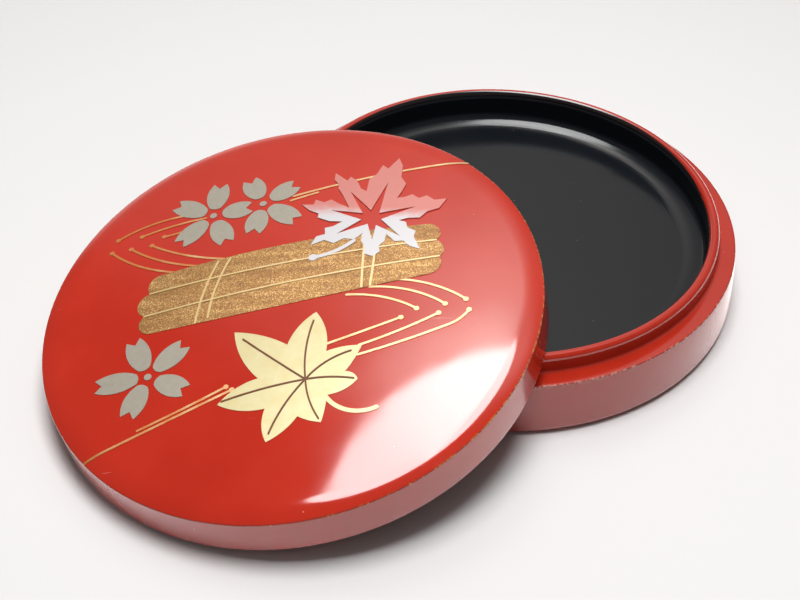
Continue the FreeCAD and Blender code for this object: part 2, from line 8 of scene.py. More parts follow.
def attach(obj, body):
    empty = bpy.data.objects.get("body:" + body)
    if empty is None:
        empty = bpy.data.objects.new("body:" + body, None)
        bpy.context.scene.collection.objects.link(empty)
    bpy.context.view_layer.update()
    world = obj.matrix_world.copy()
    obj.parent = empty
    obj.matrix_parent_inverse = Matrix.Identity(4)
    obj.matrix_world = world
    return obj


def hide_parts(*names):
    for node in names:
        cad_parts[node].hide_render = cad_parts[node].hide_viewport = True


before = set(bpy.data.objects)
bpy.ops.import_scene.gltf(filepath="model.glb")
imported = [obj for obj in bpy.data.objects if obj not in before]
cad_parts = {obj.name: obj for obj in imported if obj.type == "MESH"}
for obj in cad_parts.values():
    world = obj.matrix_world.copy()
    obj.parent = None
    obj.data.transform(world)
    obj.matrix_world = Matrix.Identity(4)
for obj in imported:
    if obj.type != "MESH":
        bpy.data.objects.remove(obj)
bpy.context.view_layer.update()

# ---- Camera ----
# A short telephoto view from in front and above, about 280 mm away, as the photograph was taken.
# Its three axes are columns: to the right of the picture, up in it, and back towards the viewer.
camera_data = bpy.data.cameras.new("camera")
camera_data.lens, camera_data.sensor_width = 72.0, 36.0
camera_data.clip_start, camera_data.clip_end = 0.01, 20.0
camera = bpy.data.objects.new("camera", camera_data)
bpy.context.scene.collection.objects.link(camera)
camera_axes = Matrix((
    (0.9961160, -0.0653046, 0.0590619),
    (0.0874756, 0.6573878, -0.7484580),
    (0.0100511, 0.7507174, 0.6605470),
))
CAMERA_SPOT = (0.0, -0.2154014, 0.1814539)              # metres
camera.matrix_world = Matrix.Translation(CAMERA_SPOT) @ camera_axes.to_4x4()
bpy.context.scene.camera = camera
bpy.context.scene.view_settings.view_transform = "Standard"

# ---- Table and light ----
# A plain white table, photographed overexposed, so that what the gloss shows of it is brighter than the table
# itself. Its colour darkens gently away from the box: a painted shade that stands in for light falling off.
TABLE_HALF = 1.6                                        # metres
TABLE_MIDDLE, FADE_START, FADE_END = (-0.02, 0.0, 0.0), 0.06, 0.16
TABLE_WHITE, TABLE_FAR_PAINTED_SHADE = "#C7C7C7", "#C1C1C1"
TABLE_IN_GLOSS = 2.1                                    # how much brighter the table is in a reflection


def linear(code):
    """An sRGB hex colour as linear red, green and blue with full alpha, by the sRGB curve."""
    parts = np.array([int(code[i:i + 2], 16) for i in (1, 3, 5)]) / 255
    flat = np.where(parts <= 0.04045, parts / 12.92, ((parts + 0.055) / 1.055) ** 2.4)
    return (*flat.tolist(), 1.0)


def add(tree, kind, sockets=None, **settings):
    """Adds one node, sets its settings, and gives each named input a value or another node's output."""
    made = tree.nodes.new(kind)
    for name, value in settings.items():
        setattr(made, name, value)
    for name, value in (sockets or {}).items():
        if isinstance(value, bpy.types.NodeSocket):
            tree.links.new(value, made.inputs[name])
        else:
            made.inputs[name].default_value = value
    return made


def new_material(name):
    """An empty material with its node tree, and the output node that its shader goes to."""
    made = bpy.data.materials.new(name)
    made.use_nodes = True
    made.node_tree.nodes.clear()
    return made, made.node_tree, made.node_tree.nodes.new("ShaderNodeOutputMaterial")


def new_piece(name, points, faces):
    """A mesh object at the origin from points in millimetres and faces, shaded smooth."""
    mesh = bpy.data.meshes.new(name)
    mesh.from_pydata((np.asarray(points) / 1000).tolist(), [], [face.tolist() for face in faces])
    mesh.polygons.foreach_set("use_smooth", np.ones(len(mesh.polygons), bool))
    mesh.update()
    piece = bpy.data.objects.new(name, mesh)
    bpy.context.scene.collection.objects.link(piece)
    return piece


side = TABLE_HALF * 1000
table = new_piece("table", [(-side, -side, 0), (side, -side, 0), (side, side, 0), (-side, side, 0)],
                  [np.arange(4)])
paint, tree, output = new_material("matt_white_table")
place = add(tree, "ShaderNodeTexCoord")
centred = add(tree, "ShaderNodeMapping", {0: place.outputs["Object"], 1: TABLE_MIDDLE},
              vector_type="TEXTURE")
spread = add(tree, "ShaderNodeVectorMath", {0: centred.outputs[0]}, operation="LENGTH")
# painted shade: the table's colour darkens with the distance from the box, as if the light fell off
painted_falloff = add(tree, "ShaderNodeMapRange", {0: spread.outputs["Value"], 1: FADE_START, 2: FADE_END},
             interpolation_type="SMOOTHSTEP")
shade = add(tree, "ShaderNodeMix", {0: painted_falloff.outputs[0], 6: linear(TABLE_WHITE), 7: linear(TABLE_FAR_PAINTED_SHADE)},
            data_type="RGBA")
light_path = add(tree, "ShaderNodeLightPath")
gain = add(tree, "ShaderNodeMapRange", {0: light_path.outputs["Is Glossy Ray"], 3: 1.0, 4: TABLE_IN_GLOSS})
white = add(tree, "ShaderNodeVectorMath", {0: shade.outputs[2], "Scale": gain.outputs[0]}, operation="SCALE")
matt = add(tree, "ShaderNodeBsdfDiffuse", {"Color": white.outputs[0]})
tree.links.new(matt.outputs[0], output.inputs["Surface"])
table.data.materials.append(paint)

# The room is dark in front and on the left. Behind the box stands a pale backdrop, brightest near the table,
# and its light gathers round a window overhead. Azimuth runs from the far side towards the right, and every
# angle is in degrees: a pair gives where a part of the room begins to fade in or out, and where it has.
ROOM_TINT = "#FFF8F2"
ROOM_DARK, BACKDROP_LOW, BACKDROP_HIGH, WINDOW = 0.15, 1.2, 0.35, 4.0
BACKDROP_LEFT, BACKDROP_RIGHT, BACKDROP_RISE, BACKDROP_TOP = (-48, -37), (1, 17), (2, 20), (48, 66)
WINDOW_LEFT, WINDOW_RIGHT, WINDOW_ABOVE = (-46, -24), (-13, -9), (57.5, 61.5)
GLOW = (
    # azimuth, height, spread across, spread up, strength
    (-14, 60, 10, 6, 3.6),
    (-3, 52, 16, 10, 0.9),
    (24, 68, 20, 6, 2.0),
    (40, 47, 22, 14, 0.35),
)
room = bpy.data.worlds.new("room")
bpy.context.scene.world = room
room.use_nodes = True
tree = room.node_tree
tree.nodes.clear()
toward = add(tree, "ShaderNodeTexCoord")
parts = add(tree, "ShaderNodeSeparateXYZ", {0: toward.outputs["Generated"]})
azimuth = add(tree, "ShaderNodeMath", {0: parts.outputs["X"], 1: parts.outputs["Y"]}, operation="ARCTAN2")
height = add(tree, "ShaderNodeMath", {0: parts.outputs["Z"]}, operation="ARCSINE")
fades = {}
for part, angle, (start, stop), low, high in (
    ("left", azimuth, BACKDROP_LEFT, 0.0, 1.0),
    ("right", azimuth, BACKDROP_RIGHT, 1.0, 0.0),
    ("rise", height, BACKDROP_RISE, BACKDROP_LOW, BACKDROP_HIGH),
    ("top", height, BACKDROP_TOP, 1.0, 0.0),
    ("window_left", azimuth, WINDOW_LEFT, 0.0, WINDOW),
    ("window_right", azimuth, WINDOW_RIGHT, 1.0, 0.0),
    ("window_above", height, WINDOW_ABOVE, 0.0, 1.0),
):
    fades[part] = add(tree, "ShaderNodeMapRange",
                      {0: angle.outputs[0], 1: math.radians(start), 2: math.radians(stop), 3: low, 4: high},
                      interpolation_type="SMOOTHSTEP").outputs[0]
sides = add(tree, "ShaderNodeMath", {0: fades["left"], 1: fades["right"]}, operation="MULTIPLY")
backdrop = add(tree, "ShaderNodeMath", {0: sides.outputs[0], 1: fades["rise"]}, operation="MULTIPLY")
backdrop = add(tree, "ShaderNodeMath", {0: backdrop.outputs[0], 1: fades["top"], 2: ROOM_DARK},
               operation="MULTIPLY_ADD")
window = add(tree, "ShaderNodeMath", {0: fades["window_left"], 1: fades["window_right"]},
             operation="MULTIPLY")
total = add(tree, "ShaderNodeMath", {0: window.outputs[0], 1: fades["window_above"], 2: backdrop.outputs[0]},
            operation="MULTIPLY_ADD").outputs[0]
for glow_azimuth, glow_height, across, up, strength in GLOW:
    aside = add(tree, "ShaderNodeMath", {0: azimuth.outputs[0], 1: math.radians(glow_azimuth)},
                operation="SUBTRACT")
    aside = add(tree, "ShaderNodeMath", {0: aside.outputs[0], 1: math.radians(across)}, operation="DIVIDE")
    above = add(tree, "ShaderNodeMath", {0: height.outputs[0], 1: math.radians(glow_height)},
                operation="SUBTRACT")
    above = add(tree, "ShaderNodeMath", {0: above.outputs[0], 1: math.radians(up)}, operation="DIVIDE")
    # a bell: e to the power of minus half the two distances squared
    aside = add(tree, "ShaderNodeMath", {0: aside.outputs[0], 1: aside.outputs[0]}, operation="MULTIPLY")
    square = add(tree, "ShaderNodeMath", {0: above.outputs[0], 1: above.outputs[0], 2: aside.outputs[0]},
                 operation="MULTIPLY_ADD")
    halved = add(tree, "ShaderNodeMath", {0: square.outputs[0], 1: -0.5}, operation="MULTIPLY")
    bell = add(tree, "ShaderNodeMath", {0: halved.outputs[0]}, operation="EXPONENT")
    total = add(tree, "ShaderNodeMath", {0: bell.outputs[0], 1: strength, 2: total},
                operation="MULTIPLY_ADD").outputs[0]
sky = add(tree, "ShaderNodeBackground", {"Color": linear(ROOM_TINT), "Strength": total})
tree.links.new(sky.outputs[0], add(tree, "ShaderNodeOutputWorld").inputs["Surface"])

# A round soft lamp hangs level above the box, a little behind it and to the left, and shows only in the gloss.
# A smaller one overhead lights the box and makes its shadows, and a weak one in front fills them.
LIGHTS = {
    # name: (place in metres, length, width, turn about the upright and lean in degrees, watts, in the gloss)
    "round_lamp": ((-0.098, 0.106, 0.70), 0.323, 0.415, -28.0, 0.0, 5.2, True),
    "overhead": ((0.01, -0.055, 0.62), 0.30, 0.30, 0.0, 0.0, 4.8, False),
    "front": ((-0.30, -1.10, 1.50), 1.4, 1.4, -14.0, 38.0, 2.2, False),
}
for name, (spot, length, width, turn, lean, power, glossy) in LIGHTS.items():
    lamp = bpy.data.lights.new(name, "AREA")
    lamp.shape, lamp.size, lamp.size_y, lamp.energy = "ELLIPSE", length, width, power
    light = bpy.data.objects.new(name, lamp)
    bpy.context.scene.collection.objects.link(light)
    facing = Matrix.Rotation(math.radians(turn), 4, "Z") @ Matrix.Rotation(math.radians(lean), 4, "X")
    light.matrix_world = Matrix.Translation(spot) @ facing
    light.visible_glossy, light.visible_diffuse = glossy, not glossy

# ---- Base, red coat ----
# Vermilion lacquer over the turned wooden base: cinnabar red in urushi, brushed on while the bowl turns,
# rubbed down and polished. It covers the side, the ledge and the standing lip, and is worn at the edges.
RIM, BELLY, FOOT_ROUND = 40.0, 40.4, 1.6                # radii in millimetres, as all the pieces' sizes are
LEDGE, LIP_OUT, LIP_WALL, LIP_SPRING = 10.2, 37.05, 1.75, 12.525
COVE, COAT, CRISP, BASE_WEAR = 0.4, 0.25, 0.14, 0.11
TURNS = 400
BASE_REDS, BASE_WORN, BASE_BARE = ("#9A2415", "#922012"), "#4A1A14", "#C8A698"
BASE_POLISH, LACQUER_IOR = 0.12, 1.53
DUST, LAP_BLACK = "#E9C9BF", "#161213"
LAP, LAP_START, LAP_END, LAP_EDGE = 0.65, 8.0, 34.0, 0.04
# how often each pattern of the lacquer comes in a millimetre
CLOUDS, DUST_CELLS, HAIRS, PATCHES, HAZE, SWELL = 0.055, 0.42, (0.09, 3.6, 0.5), 2.2, 0.2, 0.11
DUST_EDGE, DUST_CORE, DUST_RARE = 0.055, 0.02, 0.86     # in cells, and the share of cells without dust
HAIR_CREST, WEAR_CREST, WEAR_BIAS = (0.8, 0.86), (0.66, 0.8), 0.2


def bend(centre, radius, start, stop, count):
    """Points of an arc: the centre plus the radius times the cosine and sine of an angle in even steps."""
    angle = np.radians(np.linspace(start, stop, count))
    return np.stack([centre[0] + radius * np.cos(angle), centre[1] + radius * np.sin(angle)], axis=1)


def straight(start, stop, count):
    """Points of a straight run in even steps, both ends left out."""
    share = np.linspace(0, 1, count + 2)[1:-1, None]
    return np.array(start) * (1 - share) + np.array(stop) * share


def turned(name, outline, wear_at=(), wear_width=0.5, pose=None):
    """Turns an outline about the upright axis.

    Point (i, j) is the outline's radius r(i) times the cosine and sine of the angle j, with its height z(i).
    An outline with both ends on the axis is closed there by one point each, and any other runs round in a
    loop. "wear" is a bell of the distance to each worn edge: e to the power of minus its square.
    """
    outline = np.asarray(outline, float)
    poled = outline[0, 0] == 0
    rings = outline[1:-1] if poled else outline
    angle = np.arange(TURNS) * math.tau / TURNS
    grid = np.stack([
        rings[:, :1] * np.cos(angle),
        rings[:, :1] * np.sin(angle),
        np.repeat(rings[:, 1:], TURNS, axis=1),
    ], axis=2).reshape(-1, 3)
    index = np.arange(len(grid)).reshape(len(rings), TURNS)
    below = index[1:] if poled else np.roll(index, -1, axis=0)
    above = index[:-1] if poled else index
    quads = np.stack([above, below, np.roll(below, -1, 1), np.roll(above, -1, 1)], axis=2).reshape(-1, 4)
    faces = list(quads)
    if poled:
        top, bottom = len(grid), len(grid) + 1
        grid = np.concatenate([grid, [[0, 0, outline[0, 1]], [0, 0, outline[-1, 1]]]])
        first, last = index[0], index[-1]
        faces += list(np.stack([np.full(TURNS, top), first, np.roll(first, -1)], axis=1))
        faces += list(np.stack([np.full(TURNS, bottom), np.roll(last, -1), last], axis=1))
    if pose is not None:
        grid = grid @ pose[0].T + pose[1]
    piece = new_piece(name, grid, faces)
    wear = np.zeros(len(rings))
    for spot in wear_at:
        gap = np.hypot(*(rings - np.array(spot)).T)
        wear = np.maximum(wear, np.exp(-(gap / wear_width) ** 2))
    values = np.zeros(len(grid), np.float32)
    values[:len(rings) * TURNS] = np.repeat(wear, TURNS)
    piece.data.attributes.new("wear", "FLOAT", "POINT").data.foreach_set("value", values)
    return piece


def side_arc(top, bottom, bulge, count):
    """The gently swollen side from top to bottom: an arc that is upright at its widest, lower end."""
    tall = top[1] - bottom[1]
    radius = (tall * tall + bulge * bulge) / (2 * bulge)
    return bend((bottom[0] - radius, bottom[1]), radius, math.degrees(math.asin(tall / radius)), 0, count)


LIP_MID, LIP_HALF = LIP_OUT - LIP_WALL / 2, LIP_WALL / 2
red_front = np.concatenate([
    bend((LIP_MID, LIP_SPRING), LIP_HALF, 180, 0, 30),
    straight((LIP_OUT, LIP_SPRING), (LIP_OUT, LEDGE + COVE), 5),
    bend((LIP_OUT + COVE, LEDGE + COVE), COVE, 180, 270, 9),
    straight((LIP_OUT + COVE, LEDGE), (RIM - CRISP, LEDGE), 7),
    bend((RIM - CRISP, LEDGE - CRISP), CRISP, 90, 3, 7),
    side_arc((RIM, LEDGE), (BELLY, FOOT_ROUND), BELLY - RIM, 26)[2:],
    bend((BELLY - FOOT_ROUND, FOOT_ROUND), FOOT_ROUND, 0, -90, 14)[1:],
])
red_back = np.array([
    (BELLY - FOOT_ROUND, COAT), (BELLY - COAT, FOOT_ROUND), (RIM - COAT, LEDGE - COAT),
    (LIP_OUT - COAT, LEDGE - COAT), (LIP_OUT - COAT, LIP_SPRING),
    (LIP_MID, LIP_SPRING + LIP_HALF - COAT), (LIP_OUT - LIP_WALL + COAT, LIP_SPRING),
])
base_red = turned("base_vermilion", np.concatenate([red_front, red_back]), wear_at=[(RIM, LEDGE)],
                  wear_width=BASE_WEAR)


def lacquer_place(tree, pose):
    """Object coordinates in millimetres, and for the lid in its own level frame."""
    place = add(tree, "ShaderNodeTexCoord")
    centre, turn = ((0, 0, 0), (0, 0, 0)) if pose is None else (pose[1] / 1000, Matrix(pose[0]).to_euler())
    return add(tree, "ShaderNodeMapping",
               {0: place.outputs["Object"], 1: centre, 2: turn, 3: (0.001, 0.001, 0.001)},
               vector_type="TEXTURE").outputs[0]


def vermilion_lacquer(name, pose, reds, worn, bare, most, polish, lap=0.0):
    """Polished vermilion urushi: faint clouds of deeper red, dust set in the lacquer, hair scratches that
    catch the light, and edges rubbed thin, and here and there through to the ground, most of all on the side
    "most". "polish" is its lowest roughness, and "lap" how far the black reaches over the lip."""
    paint, tree, output = new_material(name)
    place = lacquer_place(tree, pose)
    clouds = add(tree, "ShaderNodeTexNoise", {"Vector": place, "Scale": CLOUDS, "Detail": 3.0})
    tone = add(tree, "ShaderNodeMapRange", {0: clouds.outputs["Fac"], 1: 0.35, 2: 0.65})
    red = add(tree, "ShaderNodeMix", {0: tone.outputs[0], 6: linear(reds[1]), 7: linear(reds[0])},
              data_type="RGBA")
    # dust grains 0.2 mm wide, one in about 6 mm square; drawn twice as wide as real so that they show
    specks = add(tree, "ShaderNodeTexVoronoi", {"Vector": place, "Scale": DUST_CELLS, "Randomness": 1.0})
    grain = add(tree, "ShaderNodeMapRange", {0: specks.outputs["Distance"], 1: DUST_EDGE, 2: DUST_CORE},
                interpolation_type="SMOOTHSTEP")
    chosen = add(tree, "ShaderNodeSeparateXYZ", {0: specks.outputs["Color"]})
    rare = add(tree, "ShaderNodeMath", {0: chosen.outputs["X"], 1: DUST_RARE}, operation="GREATER_THAN")
    dust = add(tree, "ShaderNodeMath", {0: grain.outputs[0], 1: rare.outputs[0]}, operation="MULTIPLY")
    # hair scratches from wiping: noise drawn out 40 times along one way and cut to its thin crests
    stretched = add(tree, "ShaderNodeMapping", {0: place, 2: (0, 0, 0.5), 3: HAIRS})
    hairs = add(tree, "ShaderNodeTexNoise", {"Vector": stretched.outputs[0], "Scale": 1.0, "Detail": 1.0})
    scratch = add(tree, "ShaderNodeMapRange", {0: hairs.outputs["Fac"], 1: HAIR_CREST[0], 2: HAIR_CREST[1]})
    marks = add(tree, "ShaderNodeMath", {0: dust.outputs[0], 1: scratch.outputs[0]}, operation="MAXIMUM")
    mark_share = add(tree, "ShaderNodeMath", {0: marks.outputs[0], 1: 0.3}, operation="MULTIPLY")
    dusty = add(tree, "ShaderNodeMix", {0: mark_share.outputs[0], 6: red.outputs[2], 7: linear(DUST)},
                data_type="RGBA")
    # wear along the crisp edge, broken up by patches of half a millimetre
    edge = add(tree, "ShaderNodeAttribute", attribute_name="wear", attribute_type="GEOMETRY")
    patches = add(tree, "ShaderNodeTexNoise", {"Vector": place, "Scale": PATCHES, "Detail": 3.0})
    toward_side = add(tree, "ShaderNodeVectorMath", {0: place, 1: (*most, 0)}, operation="DOT_PRODUCT")
    onward = add(tree, "ShaderNodeMath", {0: toward_side.outputs["Value"], 1: WEAR_BIAS / RIM,
                                          2: patches.outputs["Fac"]}, operation="MULTIPLY_ADD")
    broken = add(tree, "ShaderNodeMapRange", {0: onward.outputs[0], 1: WEAR_CREST[0], 2: WEAR_CREST[1]})
    rubbed = add(tree, "ShaderNodeMath", {0: edge.outputs["Fac"], 1: broken.outputs[0]}, operation="MULTIPLY")
    thin = add(tree, "ShaderNodeMath", {0: edge.outputs["Fac"], 1: 0.55}, operation="MULTIPLY")
    darker = add(tree, "ShaderNodeMix", {0: thin.outputs[0], 6: dusty.outputs[2], 7: linear(worn)},
                 data_type="RGBA")
    colour = add(tree, "ShaderNodeMix", {0: rubbed.outputs[0], 6: darker.outputs[2], 7: linear(bare)},
                 data_type="RGBA")
    if lap:
        # the black lining laps over the lip's crown, further and further towards the far side
        spot = add(tree, "ShaderNodeSeparateXYZ", {0: place})
        level = add(tree, "ShaderNodeCombineXYZ", {0: spot.outputs["X"], 1: spot.outputs["Y"]})
        out = add(tree, "ShaderNodeVectorMath", {0: level.outputs[0]}, operation="LENGTH")
        behind = add(tree, "ShaderNodeMapRange", {0: spot.outputs["Y"], 1: LAP_START, 2: LAP_END, 4: lap})
        past = add(tree, "ShaderNodeMath", {0: out.outputs["Value"], 1: behind.outputs[0]},
                   operation="SUBTRACT")
        inside = LIP_OUT - LIP_WALL
        black = add(tree, "ShaderNodeMapRange",
                    {0: past.outputs[0], 1: inside + LAP_EDGE, 2: inside - LAP_EDGE})
        colour = add(tree, "ShaderNodeMix", {0: black.outputs[0], 6: colour.outputs[2], 7: linear(LAP_BLACK)},
                     data_type="RGBA")
    haze = add(tree, "ShaderNodeTexNoise", {"Vector": place, "Scale": HAZE, "Detail": 4.0})
    rough = add(tree, "ShaderNodeMapRange",
                {0: haze.outputs["Fac"], 1: 0.3, 2: 0.7, 3: polish, 4: polish + 0.03})
    rougher = add(tree, "ShaderNodeMath", {0: marks.outputs[0], 1: 0.25, 2: rough.outputs[0]},
                  operation="MULTIPLY_ADD")
    # the polish leaves a swell of about a hundredth of a millimetre over a centimetre
    swell = add(tree, "ShaderNodeTexNoise", {"Vector": place, "Scale": SWELL, "Detail": 1.0})
    relief = add(tree, "ShaderNodeMath", {0: marks.outputs[0], 1: 0.12, 2: swell.outputs["Fac"]},
                 operation="MULTIPLY_ADD")
    bump = add(tree, "ShaderNodeBump", {"Strength": 1.0, "Distance": 0.000025, "Height": relief.outputs[0]})
    shader = add(tree, "ShaderNodeBsdfPrincipled",
                 {"Base Color": colour.outputs[2], "Roughness": rougher.outputs[0], "IOR": LACQUER_IOR,
                  "Normal": bump.outputs[0]})
    tree.links.new(shader.outputs[0], output.inputs["Surface"])
    return paint


base_red.data.materials.append(vermilion_lacquer(
    "polished_vermilion_urushi_base", None, BASE_REDS, BASE_WORN, BASE_BARE,
    most=(0.1, -1.0), polish=BASE_POLISH, lap=LAP))
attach(base_red, "base")
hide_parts("base_red_coat")

# ---- Base, black lining and foot ----
# Black urushi inside the bowl and under the foot: lacquer blackened with iron, less polished than the red,
# so that it shows the room only as a soft grey sheen. The foot ring is rubbed dull where it stands.
OPENING, FLOOR = 35.3, 7.0
ROUND, SWEEP, HANDOVER = 1.4, 6.7, math.acos(0.47)      # the wall's two arcs, and the angle where they meet
RING_OUT, RING_IN, RECESS, FOOT_WEAR = 38.8, 33.0, 3.0, 1.2
BLACK, BLACK_WORN, BLACK_IOR = "#101317", "#2A2624", 1.37
BLACK_CLOUDS, BLACK_DUST, LATHE_RINGS = 0.09, 0.3, 0.5  # in a millimetre
round_centre = OPENING - ROUND, FLOOR + SWEEP - (SWEEP - ROUND) * math.sin(HANDOVER)
sweep_centre = round_centre[0] - (SWEEP - ROUND) * math.cos(HANDOVER), FLOOR + SWEEP
steep = math.degrees(HANDOVER)
lining = np.concatenate([
    [(0, FLOOR)], straight((0, FLOOR), (sweep_centre[0], FLOOR), 30),
    bend(sweep_centre, SWEEP, -90, -steep, 26), bend(round_centre, ROUND, -steep, 0, 22)[1:],
    straight((OPENING, round_centre[1]), (OPENING, LIP_SPRING), 4), [(OPENING, LIP_SPRING)],
    [(OPENING + COAT, LIP_SPRING), (OPENING + COAT, round_centre[1])],
    bend(round_centre, ROUND + COAT, 0, -steep, 6)[1:],
    bend(sweep_centre, SWEEP + COAT, -steep, -90, 6)[1:], [(0, FLOOR - COAT)],
])
base_black = turned("base_black_lining", lining)
outer_edge = np.array([(0, 0.06), (-0.03, 0.015), (-0.08, 0)]) + (RING_OUT, 0)
inner_edge = np.array([(0.2, 0), (0.06, 0.05), (0, 0.2)]) + (RING_IN, 0)
recess_corner = np.array([(0, -0.12), (-0.05, -0.03), (-0.15, 0)]) + (RING_IN, RECESS)
foot = np.concatenate([
    [(0, RECESS + COAT), (RING_IN + COAT, RECESS + COAT), (RING_IN + COAT, COAT), (RING_OUT, COAT)],
    outer_edge, straight(outer_edge[-1], inner_edge[0], 6), inner_edge,
    recess_corner, straight(recess_corner[-1], (0, RECESS), 12), [(0, RECESS)],
])
base_foot = turned("base_foot", foot, wear_at=[(RING_OUT, 0), (RING_IN, 0)], wear_width=FOOT_WEAR)


def black_lacquer(name, pose):
    """Black urushi with a soft sheen: tone clouds, brush rings from the lathe, dust and rubbed places."""
    paint, tree, output = new_material(name)
    place = lacquer_place(tree, pose)
    clouds = add(tree, "ShaderNodeTexNoise", {"Vector": place, "Scale": BLACK_CLOUDS, "Detail": 4.0})
    edge = add(tree, "ShaderNodeAttribute", attribute_name="wear", attribute_type="GEOMETRY")
    broken = add(tree, "ShaderNodeMath", {0: edge.outputs["Fac"], 1: clouds.outputs["Fac"]},
                 operation="MULTIPLY")
    colour = add(tree, "ShaderNodeMix", {0: broken.outputs[0], 6: linear(BLACK), 7: linear(BLACK_WORN)},
                 data_type="RGBA")
    specks = add(tree, "ShaderNodeTexVoronoi", {"Vector": place, "Scale": BLACK_DUST, "Randomness": 1.0})
    dust = add(tree, "ShaderNodeMapRange", {0: specks.outputs["Distance"], 1: 0.03, 2: 0.012})
    dust_share = add(tree, "ShaderNodeMath", {0: dust.outputs[0], 1: 0.25}, operation="MULTIPLY")
    dusty = add(tree, "ShaderNodeMix", {0: dust_share.outputs[0], 6: colour.outputs[2], 7: linear(DUST)},
                data_type="RGBA")
    rough = add(tree, "ShaderNodeMapRange", {0: clouds.outputs["Fac"], 1: 0.3, 2: 0.7, 3: 0.13, 4: 0.19})
    rougher = add(tree, "ShaderNodeMath", {0: broken.outputs[0], 1: 0.4, 2: rough.outputs[0]},
                  operation="MULTIPLY_ADD")
    rings = add(tree, "ShaderNodeTexWave",
                {"Vector": place, "Scale": LATHE_RINGS, "Distortion": 1.5, "Detail": 2.0},
                wave_type="RINGS", rings_direction="Z")
    bump = add(tree, "ShaderNodeBump",
               {"Strength": 0.3, "Distance": 0.000008, "Height": rings.outputs["Fac"]})
    shader = add(tree, "ShaderNodeBsdfPrincipled",
                 {"Base Color": dusty.outputs[2], "Roughness": rougher.outputs[0], "IOR": BLACK_IOR,
                  "Normal": bump.outputs[0]})
    tree.links.new(shader.outputs[0], output.inputs["Surface"])
    return paint


base_urushi = black_lacquer("satin_black_urushi_base", None)
for piece, node_name in ((base_black, "base_black_coat"), (base_foot, "base_foot_coat")):
    piece.data.materials.append(base_urushi)
    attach(piece, "base")
    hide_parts(node_name)

# ---- Lid, red coat ----
# The lid leans on the base: its rim stands on the table at the near left and rests on the standing lip.
# The same vermilion lacquer covers its low dome, its side and its rim; the dome ends in a crisp edge that
# has rubbed through to a thin ochre line.
LEAN, LEAN_WAY, LEAN_OFFSET = math.radians(12.5995), math.radians(223.7), 42.72
SKIRT, TAPER, DOME, SHOULDER, SHOULDER_IN, RIM_ROUND = 6.5, 0.1, 390.0, 10.8, 3.4, 0.4
BORE, LID_WEAR, LID_POLISH = 37.3, 0.15, 0.055
LID_REDS, LID_WORN, LID_BARE = ("#A72717", "#9F2213"), "#54200F", "#B07A3E"
# the lid's turn and shift: a lean about the level line square to the way that it leans
way = np.array([math.cos(LEAN_WAY), math.sin(LEAN_WAY), 0])
POSE = (np.array(Matrix.Rotation(LEAN, 3, Vector((-way[1], way[0], 0)))),
        way * LEAN_OFFSET + np.array([0, 0, RIM * math.sin(LEAN)]))
# the dome and the shoulder are arcs that meet without a corner, and the edge below the shoulder is a crease
edge_x = RIM - TAPER
meet = edge_x - SHOULDER_IN
slope = meet / DOME
shoulder_x = meet - SHOULDER * slope
shoulder_z = SKIRT - math.sqrt(SHOULDER ** 2 - (edge_x - shoulder_x) ** 2)
dome_z = shoulder_z - (DOME - SHOULDER) * math.sqrt(1 - slope ** 2)
last = math.degrees(math.acos((edge_x - shoulder_x) / SHOULDER))
first = math.degrees(math.acos(slope))
dome_run = np.linspace(0, meet, 60)
crease = np.array([edge_x, SKIRT])
lid_front = np.concatenate([
    np.stack([dome_run, dome_z + np.sqrt(DOME ** 2 - dome_run ** 2)], axis=1)[1:],
    bend((shoulder_x, shoulder_z), SHOULDER, first, last, 40)[1:-1],
])
side_run = side_arc((edge_x, SKIRT), (RIM, RIM_ROUND), TAPER, 24)
incoming, outgoing = crease - lid_front[-1], side_run[1] - crease
before = crease - incoming / np.hypot(*incoming) * CRISP
after = crease + outgoing / np.hypot(*outgoing) * CRISP
share = np.linspace(0, 1, 7)[:, None]
soft_edge = before * (1 - share) ** 2 + crease * 2 * share * (1 - share) + after * share ** 2
top, shoulder_height = dome_z + DOME, dome_z + math.sqrt(DOME ** 2 - meet ** 2)
lid_outline = np.concatenate([
    [(0, top)], lid_front[:-1], soft_edge, side_run[1:],
    bend((RIM - RIM_ROUND, RIM_ROUND), RIM_ROUND, 0, -90, 8)[1:],
    straight((RIM - RIM_ROUND, 0), (BORE + RIM_ROUND, 0), 2),
    bend((BORE + RIM_ROUND, RIM_ROUND), RIM_ROUND, -90, -180, 8),
    [(BORE + COAT, RIM_ROUND), (BORE + RIM_ROUND, COAT), (RIM - RIM_ROUND, COAT), (RIM - COAT, RIM_ROUND),
     (edge_x - COAT, SKIRT - COAT), (meet, shoulder_height - COAT), (0, top - COAT)],
])
lid_red = turned("lid_vermilion", lid_outline, wear_at=[crease], wear_width=LID_WEAR, pose=POSE)
lid_red.data.materials.append(vermilion_lacquer(
    "polished_vermilion_urushi_lid", POSE, LID_REDS, LID_WORN, LID_BARE,
    most=(1.0, -0.2), polish=LID_POLISH))
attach(lid_red, "lid")
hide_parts("lid_red_coat")

# ---- Lid, black lining ----
# The same black urushi as in the base, from the inner edge of the rim up the bore and over the ceiling.
LID_WALL, CEILING_ROUND = 1.1, 2.6
CEILING = shoulder_height - LID_WALL
lid_lining = np.concatenate([
    [(0, CEILING + COAT)],
    bend((BORE - CEILING_ROUND, CEILING - CEILING_ROUND), CEILING_ROUND + COAT, 90, 0, 6),
    [(BORE + COAT, RIM_ROUND), (BORE, RIM_ROUND)],
    straight((BORE, RIM_ROUND), (BORE, CEILING - CEILING_ROUND), 3),
    bend((BORE - CEILING_ROUND, CEILING - CEILING_ROUND), CEILING_ROUND, 0, 90, 20),
    straight((BORE - CEILING_ROUND, CEILING), (0, CEILING), 24), [(0, CEILING)],
])
lid_black = turned("lid_black_lining", lid_lining, pose=POSE)
lid_black.data.materials.append(black_lacquer("satin_black_urushi_lid", POSE))
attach(lid_black, "lid")
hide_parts("lid_black_coat")

